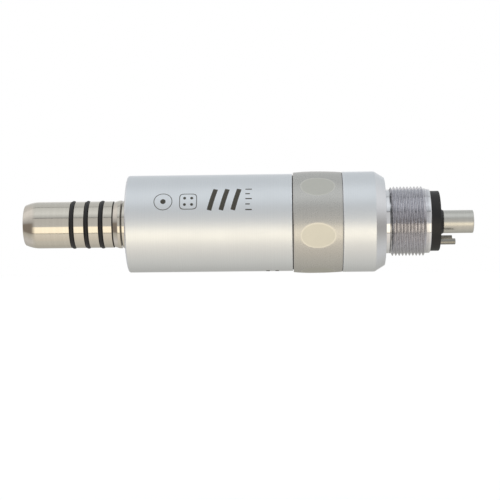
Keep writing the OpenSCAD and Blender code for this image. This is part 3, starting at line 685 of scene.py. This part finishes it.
def build_nose():
    """The spigot with its spray outlets, and the O-rings in its grooves."""
    outlet_r, outlet_floor_r, outlet_angles = 0.3, 3.5, (12, 42)
    nose = lathe("spigot_body", nose_outline())
    middles = [sum(span(node)[:2]) / 2 for node in NOSE_ORINGS]
    for degrees, before, after in zip(outlet_angles, middles, middles[1:]):
        x = (before + after) / 2
        angle = math.radians(degrees)
        drill(nose, on_axis(x, outlet_floor_r, angle), on_axis(x, spigot_r + 1, angle), outlet_r, 32)
    place(nose, "nose_spigot", material=NOSE_STEEL)
    for node in NOSE_ORINGS:
        low, high, r = span(node)
        cord_r = (high - low) / 2
        ring = torus(node.replace("nose_", "") + "_body", (low + high) / 2, r - cord_r, cord_r)
        place(ring, node)


# ---------------------------------------------------------------- barrel

def build_barrel():
    inner_r = 9.0
    hole_r = spigot_r + 0.25
    barrel = lathe("barrel_sleeve", [
        (barrel_front, hole_r, 0.1), (barrel_front, barrel_r, 0.3),
        (barrel_rear, barrel_r, 0.12), (barrel_rear, inner_r, 0.1),
        (FRONT_WALL, inner_r, 0.1), (FRONT_WALL, hole_r, 0.05),
    ])
    place(barrel, "barrel")


# Etched marks are drawn on the barrel's near side: u is x, and v is the length of arc up from the middle.
# Each is a thin plate that reaches from just above the barrel to just below its surface.

ETCH_TOP = 0.012
ETCH_BOTTOM = -0.04


def etch_point(u, v, height):
    """The point over u and v at a height above the barrel, in metres."""
    turn = v / barrel_r
    r = barrel_r + height
    return Vector((u, -r * math.cos(turn), r * math.sin(turn))) * MM


def add_etch(builder, left, right, closed):
    """A thin plate between two equal lines of (u, v) points that follows the barrel."""
    rows = [
        [builder.verts.new(etch_point(u, v, height)) for u, v in line]
        for line, height in ((left, ETCH_TOP), (right, ETCH_TOP), (right, ETCH_BOTTOM), (left, ETCH_BOTTOM))
    ]
    last = len(left) if closed else len(left) - 1
    for i in range(last):
        j = (i + 1) % len(left)
        for a, b in zip(rows, rows[1:] + rows[:1]):
            add_face(builder, [a[i], a[j], b[j], b[i]])
    if not closed:
        add_face(builder, [row[0] for row in rows])
        add_face(builder, [row[-1] for row in rows])


def add_loop_etch(builder, u, v, half, width, power, sides=64):
    """A closed outline: power 2 is a circle, and higher powers come nearer to a square."""
    def line(size):
        points = []
        for i in range(sides):
            c, s = math.cos(2 * math.pi * i / sides), math.sin(2 * math.pi * i / sides)
            reach = size / (abs(c) ** power + abs(s) ** power) ** (1 / power)
            points.append((u + reach * c, v + reach * s))
        return points
    add_etch(builder, line(half), line(half - width), True)


def add_dot_etch(builder, u, v, r, sides=20):
    """A disc: a circle whose line fills it but for a hole too small to see."""
    hole_r = 1e-4
    add_loop_etch(builder, u, v, r, r - hole_r, 2, sides)


def add_bar_etch(builder, start, end, width, steps=14):
    """A straight stroke from start to end with square ends."""
    (u0, v0), (u1, v1) = start, end
    length = math.dist(start, end)
    side = (-(v1 - v0) / length * width / 2, (u1 - u0) / length * width / 2)
    lines = [
        [
            (u0 + (u1 - u0) * i / steps + sign * side[0], v0 + (v1 - v0) * i / steps + sign * side[1])
            for i in range(steps + 1)
        ]
        for sign in (1, -1)
    ]
    add_etch(builder, *lines, False)


def build_etching():
    """Made-up marks: a ring with a dot, a tile of four dots, three slanted bars, a column of ticks and,
    underneath, two index marks."""
    icon_v, icon_line = 4.5, 0.14
    ring_u, ring_half, ring_dot_r = 7.9, 1.9, 0.55
    tile_u, tile_half, tile_power = 13.0, 1.8, 5
    tile_dot_r, tile_dot_off = 0.3, 0.72
    bar_u, bar_v, bar_pitch, bar_count = 17.9, 4.95, 2.4, 3
    bar_lean, bar_half, bar_width = 0.65, 2.45, 0.95
    tick_u, tick_pitch, tick_count, tick_width = 24.6, 1.2, 5, 0.24
    long_tick, short_tick = 1.3, 0.9
    index_top, index_end, index_width = -13.9, -15.6, 0.7

    builder = bmesh.new()
    add_loop_etch(builder, ring_u, icon_v, ring_half, icon_line, 2)
    add_dot_etch(builder, ring_u, icon_v, ring_dot_r)
    add_loop_etch(builder, tile_u, icon_v, tile_half, icon_line, tile_power)
    for du in (-tile_dot_off, tile_dot_off):
        for dv in (-tile_dot_off, tile_dot_off):
            add_dot_etch(builder, tile_u + du, icon_v + dv, tile_dot_r)
    for i in range(bar_count):
        u = bar_u + i * bar_pitch
        add_bar_etch(builder, (u - bar_lean, bar_v - bar_half), (u + bar_lean, bar_v + bar_half), bar_width)
    for i in range(tick_count):
        v = bar_v + (i - (tick_count - 1) / 2) * tick_pitch
        length = short_tick if i % 2 else long_tick
        add_bar_etch(builder, (tick_u, v), (tick_u + length, v), tick_width)
    for u in (28.9, 30.8):
        add_bar_etch(builder, (u, index_top), (u, index_end), index_width)
    etching = object_from("barrel_etching", builder)
    etching.data.materials.append(ETCHED)
    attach(etching, "housing")


# ---------------------------------------------------------------- selector ring

# How much the ring's outside falls from its fullest place to its ends, and where that place is along it
RING_CROWN = 0.2
CROWN_PEAK_SHARE = 0.426
# What lies less than this below the ring's radius is its outside
RING_SKIN = 1
DIMPLE_COUNT = 6
DIMPLE_LENGTH = 7.3
DIMPLE_DEPTH = 0.34
# Where the dimples' middle is along the ring
DIMPLE_SHARE = 0.513
DIMPLE_TURN = math.radians(-73.7)
# How far the sharp edge between ring and dimple is eased
DIMPLE_RIM = 0.03
RING_EDGE = 0.1

dimple_x = ring_front + (ring_rear - ring_front) * DIMPLE_SHARE


def crown(x):
    """Radius of the ring's outside at x, before the dimples are cut."""
    peak = ring_front + (ring_rear - ring_front) * CROWN_PEAK_SHARE
    reach = peak - ring_front if x < peak else ring_rear - peak
    return ring_r - RING_CROWN * ((x - peak) / reach) ** 2


end_crown = (crown(dimple_x - DIMPLE_LENGTH / 2) + crown(dimple_x + DIMPLE_LENGTH / 2)) / 2
dimple_rise = DIMPLE_DEPTH - (ring_r - end_crown)
drum_r = ((DIMPLE_LENGTH / 2) ** 2 + dimple_rise ** 2) / (2 * dimple_rise)


def dimple_floor(x, angle):
    """Radius at which the drum that cuts the nearest dimple is met, at x and angle."""
    step = 2 * math.pi / DIMPLE_COUNT
    off = (angle - DIMPLE_TURN + step / 2) % step - step / 2
    height = ring_r - DIMPLE_DEPTH + drum_r - math.sqrt(drum_r ** 2 - (x - dimple_x) ** 2)
    return height / math.cos(off)


def dimpled(x, r, angle):
    """The radius with the dimple cut in and its rim eased."""
    if r < ring_r - RING_SKIN:
        return r
    floor_r = dimple_floor(x, angle)
    if floor_r - r > DIMPLE_RIM:
        return r
    share = min(1.0, max(0.0, 0.5 + 0.5 * (floor_r - r) / DIMPLE_RIM))
    return floor_r + (r - floor_r) * share - DIMPLE_RIM * share * (1 - share)


def ring_edge(end_x, inwards):
    """Points of the rounded edge at one end of the ring, from its end face to its crown."""
    points = []
    for i in range(ARC_STEPS + 1):
        turn = math.radians(90 * i / ARC_STEPS)
        x = end_x + inwards * RING_EDGE * (1 - math.cos(turn))
        points.append((x, crown(end_x) - RING_EDGE * (1 - math.sin(turn))))
    return points


def ring_outline():
    """Closed points of the ring, which covers the barrel's rear end with a recess."""
    bore_r = core_r + 0.1
    recess_r = barrel_r - 0.25
    recess_rear = barrel_rear + 0.85
    steps = 96
    outline = [(recess_rear, bore_r), (recess_rear, recess_r), (ring_front, recess_r)]
    outline += ring_edge(ring_front, 1)
    for i in range(1, steps):
        x = ring_front + RING_EDGE + (ring_rear - ring_front - 2 * RING_EDGE) * i / steps
        outline.append((x, crown(x)))
    outline += reversed(ring_edge(ring_rear, -1))
    return outline + [(ring_rear, bore_r)]


def cut_keyway(ring):
    """The slot inside the ring that takes the selector pin."""
    width, depth, rear = 1.64, 9.0, 37.9
    front = ring_front - 1
    middle = Vector(((front + rear) / 2, 0, depth / 2)) * MM
    size = Vector((rear - front, width, depth)) * MM
    keyway = bmesh.new()
    bmesh.ops.create_cube(
        keyway, size=1.0, matrix=Matrix.Translation(middle) @ Matrix.Diagonal((*size, 1.0))
    )
    cut_with(ring, keyway)


def mark_dimples(ring):
    """Writes how deep in a dimple each vertex lies, from 0 to 1, for the ring's material."""
    rim_depth, full_depth = 0.01, 0.06
    mask = ring.data.attributes.new("dimple", "FLOAT", "POINT")
    for vertex, value in zip(ring.data.vertices, mask.data):
        x = vertex.co.x / MM
        r = math.hypot(vertex.co.y, vertex.co.z) / MM
        if r > ring_r - RING_SKIN and ring_front + RING_EDGE < x < ring_rear - RING_EDGE:
            depth = (crown(x) - r - rim_depth) / (full_depth - rim_depth)
            value.value = min(1.0, max(0.0, depth))


def build_ring():
    builder = bmesh.new()
    add_lathe(builder, ring_outline(), FINE_SEGMENTS, radius_at=dimpled)
    ring = object_from("ring_body", builder)
    cut_keyway(ring)
    mark_dimples(ring)
    place(ring, "regulator_ring", "selector")


# ---------------------------------------------------------------- rear cap

def build_cap():
    chamfer, rear_face_r, lip = 2.1, 9.1, 1.45
    land, land_r = 0.05, 9.8
    bore_r = core_r + SLIP_GAP
    hole_r = neck_r + 0.06
    front = cap_front + land
    cap = lathe("cap_body", [
        (cap_front, bore_r, 0.05), (cap_front, land_r, 0), (front, land_r, 0), (front, cap_r, 0.12),
        (cap_rear - chamfer, cap_r, 0.35), (cap_rear, rear_face_r, 0.12),
        (cap_rear, hole_r, 0.06), (cap_rear - lip, hole_r, 0),
        (cap_rear - lip, bore_r, 0),
    ])
    place(cap, "rear_cap")


# ---------------------------------------------------------------- hose connector

INCH = 25.4
THREADS_PER_INCH = 36
THREAD_PITCH = INCH / THREADS_PER_INCH
# Angle between a flank and the axis
FLANK = math.radians(63)
CREST_ROUND = 0.05
ROOT_ROUND = 0.06


def thread_height():
    slope = THREAD_PITCH / 2 - (CREST_ROUND + ROOT_ROUND) * math.sin(FLANK)
    return (CREST_ROUND + ROOT_ROUND) * (1 - math.cos(FLANK)) + slope * math.tan(FLANK)


def thread_profile(steps=3):
    """(x, height) points over one pitch, from root to root."""
    height = thread_height()
    rise = []
    for i in range(steps + 1):
        turn = FLANK * i / steps
        rise.append((ROOT_ROUND * math.sin(turn), ROOT_ROUND * (1 - math.cos(turn))))
    for i in range(steps, 0, -1):
        turn = FLANK * i / steps
        x = THREAD_PITCH / 2 - CREST_ROUND * math.sin(turn)
        rise.append((x, height - CREST_ROUND * (1 - math.cos(turn))))
    fall = [(THREAD_PITCH - x, h) for x, h in reversed(rise)]
    return rise + [(THREAD_PITCH / 2, height)] + fall


def ease(value):
    """0 up to 0, 1 from 1 on, and a smooth rise between."""
    value = min(1.0, max(0.0, value))
    return value * value * (3 - 2 * value)


def add_thread(builder, front, rear, root_r):
    """One right-hand helix between two stations. Its ridge grows out of the root and runs out into it."""
    front_run, rear_run = 0.45, 0.5
    lead_turns, spare_turns = 1.6, 3
    turns = math.ceil((rear - front) / THREAD_PITCH) + spare_turns
    profile = thread_profile()
    rows = []
    for i in range(turns * THREAD_SEGMENTS + 1):
        angle = 2 * math.pi * i / THREAD_SEGMENTS
        row = []
        for along, height in profile:
            x = front - THREAD_PITCH * lead_turns + THREAD_PITCH * i / THREAD_SEGMENTS + along
            x = min(rear, max(front, x))
            fade = ease((x - front) / front_run) * ease((rear - x) / rear_run)
            row.append(builder.verts.new(on_axis(x, root_r + height * fade, angle)))
        rows.append(row)
    for first, second in zip(rows, rows[1:]):
        for j in range(len(profile) - 1):
            add_face(builder, [first[j], first[j + 1], second[j + 1], second[j]])


def connector_ends(root_r, axis_r=0.2):
    """Open lines for the connector in front of its thread and behind it. Both end close to the axis."""
    flange_rear_x = cap_rear - 1.5
    relief_front = thread_front - 0.16
    relief_r = root_r - 0.2
    run_out = 0.12
    front = rounded([
        (connector_front, core_r, 0.1), (flange_rear_x, core_r, 0.1), (flange_rear_x, neck_r, 0.05),
        (relief_front, neck_r, 0.03), (relief_front, relief_r, 0.03),
        (thread_front, relief_r, 0.03), (thread_front, root_r, 0),
        (thread_front, axis_r, 0), (connector_front, axis_r, 0),
    ])[:-2]
    rear = rounded([
        (thread_rear, axis_r, 0), (thread_rear, root_r, 0), (thread_rear + run_out, neck_r, 0.05),
        (face_x, neck_r, 0.2), (face_x, axis_r, 0),
    ])[1:-1]
    return supported(front, closed=False), supported(rear, closed=False)


def drill_ports(connector):
    """The four ways through the connector: exhaust, water, chip air and drive air."""
    exhaust_r, exhaust_seat, exhaust_seat_r = 2.0, 56, 2.22
    small_r = 0.48
    drive_depth, drive_passage_r, overlap = 6.6, 0.9, 0.6
    before, after = connector_front - 1, face_x + 1
    exhaust, drive = centre_of("exhaust_tube"), drive_port()
    drill_along(connector, before, after, exhaust_r, exhaust)
    drill_along(connector, exhaust_seat, after, exhaust_seat_r, exhaust)
    for node in SMALL_TUBES:
        drill_along(connector, before, after, small_r, centre_of(node))
    drill_along(connector, face_x - drive_depth, after, mount_radius("drive_air_port"), drive)
    drill_along(connector, before, face_x - drive_depth + overlap, drive_passage_r, drive)


def build_connector():
    root_r = thread_crest_r - thread_height()
    front, rear = connector_ends(root_r)
    builder = bmesh.new()
    first = add_lathe(builder, front, THREAD_SEGMENTS, closed=False)
    last = add_lathe(builder, rear, THREAD_SEGMENTS, closed=False)
    add_thread(builder, thread_front, thread_rear, root_r)
    builder.faces.new(first[0])
    builder.faces.new(last[-1])
    connector = object_from("connector_body", builder)
    drill_ports(connector)
    place(connector, "hose_connector", material=THREAD_STEEL)


def drive_port():
    """The (y, z) of the drive-air port, in mm."""
    place_m = mounts["drive_air_port"]["pos_m"]
    return place_m[1] / MM, place_m[2] / MM


# ---------------------------------------------------------------- gasket and tubes

def build_gasket():
    """The gasket's disc, with the raised boss round the exhaust tube joined to it."""
    axis_r = 0.4
    boss_axis_r, foot_r, shoulder_r, waist_r, tip_r = 0.2, 2.4, 2.9, 2.56, 2.42
    exhaust = centre_of("exhaust_tube")
    gasket = lathe("gasket_body", [
        (gasket_front, axis_r, 0), (gasket_front, gasket_r, 0.06),
        (gasket_rear, gasket_r, 0.18), (gasket_rear, axis_r, 0),
    ])
    boss = bmesh.new()
    add_lathe(boss, supported(rounded([
        (gasket_front, boss_axis_r, 0), (gasket_front, foot_r / 2, 0), (gasket_rear - 0.4, foot_r, 0),
        (gasket_rear - 0.2, shoulder_r, 0.1), (gasket_rear + 0.6, waist_r, 0.25),
        (boss_rear, tip_r, 0.08), (boss_rear, boss_axis_r, 0),
    ])), SEGMENTS, exhaust)
    cut_with(gasket, boss, "UNION")
    before, after = gasket_front - 1, gasket_rear + 1
    drill_along(gasket, before, boss_rear + 1, 2.23, exhaust)
    for node in SMALL_TUBES:
        drill_along(gasket, before, after, span(node)[2] + 0.02, centre_of(node))
    drill_along(gasket, before, after, mount_radius("drive_air_port") + 0.1, drive_port())
    place(gasket, "hose_gasket")


def build_tube(node, name, material, segments, wall, step, shoulder, ends):
    """A tube that is a step thinner in its seat, up to the shoulder. ends gives the corner radii of the
    shoulder, of the tip outside and of the tip inside."""
    seat, tip, r = span(node)
    bore_r, root_r = r - wall, r - step
    shoulder_round, tip_round, mouth_round = ends
    tube = lathe(name, [
        (seat, bore_r, 0), (seat, root_r, 0), (shoulder, root_r, 0), (shoulder, r, shoulder_round),
        (tip, r, tip_round), (tip, bore_r, mouth_round),
    ], segments, centre_of(node))
    place(tube, node, material=material)


def build_tubes():
    build_tube(
        "exhaust_tube", "exhaust_pipe", TUBE_STEEL, SEGMENTS,
        wall=0.38, step=0.18, shoulder=boss_rear + 0.05, ends=(0.04, 0.25, 0.06),
    )
    for node, name in SMALL_TUBES.items():
        build_tube(
            node, name, SMALL_TUBE_SHADED_STEEL, SEGMENTS // 2,
            wall=0.3, step=0.16, shoulder=gasket_rear, ends=(0, 0.13, 0.05),
        )


# ---------------------------------------------------------------- dog spring

SPRING_COILS = 6
WIRE_R = 0.2


def build_spring(sides=12, steps=48):
    """The coil behind the drive dog."""
    front, rear, outer_r = span("dog_spring")
    coil_r = outer_r - WIRE_R
    count = SPRING_COILS * steps
    builder = bmesh.new()
    rows = []
    for i in range(count + 1):
        x = front + WIRE_R + (rear - front - 2 * WIRE_R) * i / count
        turn = math.pi / 2 + 2 * math.pi * i / steps
        row = []
        for j in range(sides):
            side = 2 * math.pi * j / sides
            point = on_axis(x + WIRE_R * math.sin(side), coil_r + WIRE_R * math.cos(side), turn)
            row.append(builder.verts.new(point))
        rows.append(row)
    for first, second in zip(rows, rows[1:]):
        add_strip(builder, first, second)
    builder.faces.new(rows[0])
    builder.faces.new(rows[-1])
    spring = object_from("dog_spring_coil", builder)
    place(spring, "dog_spring", "rotor")
    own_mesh(spring)


# ---------------------------------------------------------------- stage

CAMERA_DISTANCE = 292
# Width of the view at the motor's axis
VIEW_WIDTH = 104.3
CAMERA_ROLL = math.radians(-0.62)
# Heights of the camera and of the point it looks at, and how far that point is behind the motor's middle
EYE_Z = -5.6
TARGET_Z = -5.65
FRAME_SHIFT = 0.27
FLOOR_Z = -64
FLOOR_R = 3000


def build_camera():
    """Looks nearly square at the barrel's side, from opposite the selector ring."""
    length_middle = (cad_box[0].x + cad_box[1].x) / 2 / MM
    eye = Vector((barrel_rear, -CAMERA_DISTANCE, EYE_Z)) * MM
    target = Vector((length_middle + FRAME_SHIFT, 0, TARGET_Z)) * MM
    data = bpy.data.cameras.new("camera")
    data.lens = data.sensor_width * CAMERA_DISTANCE / VIEW_WIDTH
    data.clip_start = 0.01
    camera = bpy.data.objects.new("camera", data)
    bpy.context.scene.collection.objects.link(camera)
    camera.location = eye
    look = (target - eye).to_track_quat("-Z", "Y").to_matrix() @ Matrix.Rotation(CAMERA_ROLL, 3, "Z")
    camera.rotation_euler = look.to_euler()
    bpy.context.scene.camera = camera


# The light tent's panels run along the motor. Each has the angles round the axis that it fills, counted
# from the camera's side upwards, its brightness at both, and its tint.
NEUTRAL = (1.0, 1.0, 1.0)
COOL = (0.95, 1.0, 1.02)
CLEAR = (0.985, 1.0, 0.99)
PALE = (1.01, 1.0, 0.925)
CREAM = (1.045, 1.0, 0.905)
WARM = (1.075, 1.0, 0.83)
DUSK = (1.12, 1.0, 0.88)
PANELS = (
    (-180, -120, 0.45, 0.61, PALE),
    (-118, -86, 0.66, 0.75, PALE),
    (-85, -45.5, 0.76, 0.91, CREAM),
    (-41.5, -11.5, 1.45, 1.49, WARM),
    (-9.5, 32, 0.71, 0.66, CLEAR),
    (36, 56, 0.62, 0.97, COOL),
    (57, 96, 0.98, 0.79, COOL),
    (100, 149.5, 0.71, 0.76, COOL),
    (152, 166, 0.95, 0.95, NEUTRAL),
    (168, 180, 0.62, 0.58, NEUTRAL),
)
# A dark seam shows in gaps between panels that are from one to two seam widths wide
SEAM = 0.08
SEAM_WIDTH = 2.5
# What the tent holds past the ends of its strip light
END_PANELS = (
    (-180, -135, 0.58, 0.62, NEUTRAL),
    (-104, -87, 0.76, 0.70, NEUTRAL),
    (-66, -52, 0.63, 0.52, PALE),
    (-43, 4, 0.26, 0.26, DUSK),
    (16, 26, 0.50, 0.62, NEUTRAL),
    (37, 47, 0.72, 0.82, NEUTRAL),
    (60, 85, 0.95, 0.98, NEUTRAL),
    (98, 180, 0.80, 0.60, NEUTRAL),
)
# Sideways part of a direction at the strip's middle, and how far from it the ends begin and take over
STRIP_MIDDLE = 0.12
END_FROM = 0.34
END_TO = 0.62


def build_world():
    """A soft light tent that only lights and mirrors; the camera itself sees plain white."""
    world = bpy.data.worlds.new("light_tent")
    bpy.context.scene.world = world
    world.use_nodes = True
    world.node_tree.nodes.clear()
    g = Nodes(world.node_tree)
    x, y, z = g.axes(g.new("ShaderNodeTexCoord").outputs["Generated"])
    angle = g.math("ARCTAN2", z, g.math("MULTIPLY", y, -1))
    share = g.band(angle, -math.pi, math.pi)
    ramps = []
    for panels in (PANELS, END_PANELS):
        ramp = g.new("ShaderNodeValToRGB")
        g.feed(share, ramp.inputs[0])
        fill_ramp(ramp.color_ramp, panels)
        ramps.append(ramp.outputs[0])
    off_middle = g.math("ABSOLUTE", g.math("SUBTRACT", x, STRIP_MIDDLE))
    end_share = g.band(off_middle, END_FROM, END_TO, interpolation_type="SMOOTHSTEP")
    tent = g.new("ShaderNodeBackground")
    g.feed(g.mix(end_share, *ramps), tent.inputs["Color"])
    white = g.new("ShaderNodeBackground")
    g.feed((1, 1, 1, 1), white.inputs["Color"])
    seen_by_camera = g.new("ShaderNodeLightPath").outputs["Is Camera Ray"]
    output = g.new("ShaderNodeOutputWorld")
    g.feed(g.mix_shaders(seen_by_camera, tent.outputs[0], white.outputs[0]), output.inputs[0])


def fill_ramp(ramp, panels):
    """One stop at each end of each panel, and a dark one in any narrow seam after it."""
    stops = []
    for i, (start, end, low, high, tint) in enumerate(panels):
        stops.append((start, [low * part for part in tint]))
        stops.append((end, [high * part for part in tint]))
        following = panels[i + 1][0] if i + 1 < len(panels) else end
        if SEAM_WIDTH < following - end < 2 * SEAM_WIDTH:
            stops.append(((end + following) / 2, (SEAM, SEAM, SEAM)))
    while len(ramp.elements) > 1:
        ramp.elements.remove(ramp.elements[0])
    for i, (degrees, colour) in enumerate(stops):
        position = (degrees + 180) / 360
        element = ramp.elements[0] if i == 0 else ramp.elements.new(position)
        element.position = position
        element.color = (*colour, 1)


def build_floor():
    """A pale round floor under the object, seen only from above."""
    builder = bmesh.new()
    bmesh.ops.create_circle(
        builder, cap_ends=True, segments=96, radius=FLOOR_R * MM,
        matrix=Matrix.Translation((0, 0, FLOOR_Z * MM)),
    )
    floor = object_from("floor", builder)
    g = Graph("floor_paper")
    base = g.mix(g.noise(40, 3), (0.86, 0.86, 0.86), (0.9, 0.9, 0.9))
    g.shader.inputs["Emission Color"].default_value = (1, 1, 1, 1)
    g.shader.inputs["Emission Strength"].default_value = 0.35
    floor.data.materials.append(g.done(base, 0.9, metallic=0.0))
    underside = g.new("ShaderNodeNewGeometry").outputs["Backfacing"]
    clear = g.new("ShaderNodeBsdfTransparent").outputs[0]
    surface = g.mix_shaders(underside, g.shader.outputs[0], clear)
    g.feed(surface, g.tree.nodes["Material Output"].inputs["Surface"])
    floor.visible_glossy = False
    floor.visible_diffuse = False


# ---------------------------------------------------------------- everything

build_nose()
build_barrel()
build_etching()
build_ring()
build_cap()
build_connector()
build_gasket()
build_tubes()
build_spring()
build_camera()
build_world()
build_floor()
bpy.context.scene.view_settings.view_transform = "Standard"
